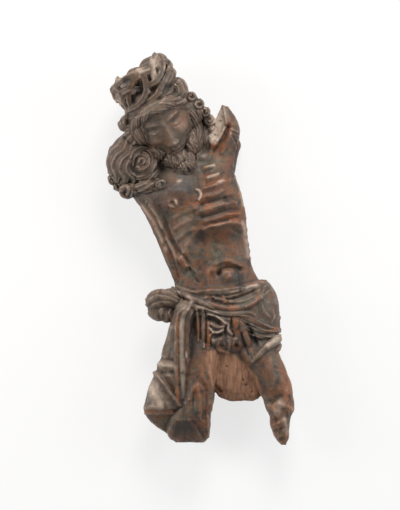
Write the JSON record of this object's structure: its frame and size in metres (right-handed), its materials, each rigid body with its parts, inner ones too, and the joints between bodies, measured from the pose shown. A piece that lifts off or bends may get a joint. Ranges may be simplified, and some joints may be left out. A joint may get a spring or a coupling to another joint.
{
  "type": "carved wooden crucifix figure",
  "caption": "Fragment of a small carved wooden crucifix figure with bowed bearded head, twig wreath, loincloth and broken limbs. It lies loose on its back, for show.",
  "frame": {"origin": "middle of the box round the figure, on the plane it rests on", "axes": "+Z from the back of the figure towards its front, +Y from the thighs towards the head, +X towards the figure's left arm stump"},
  "size_m": [0.0714, 0.149, 0.032],
  "materials": {
    "patinated_wood": "dark waxed patina, satin to glossy"
  },
  "bodies": {
    "root": {"carved_figure": "patinated_wood"}
  },
  "joints": []
}
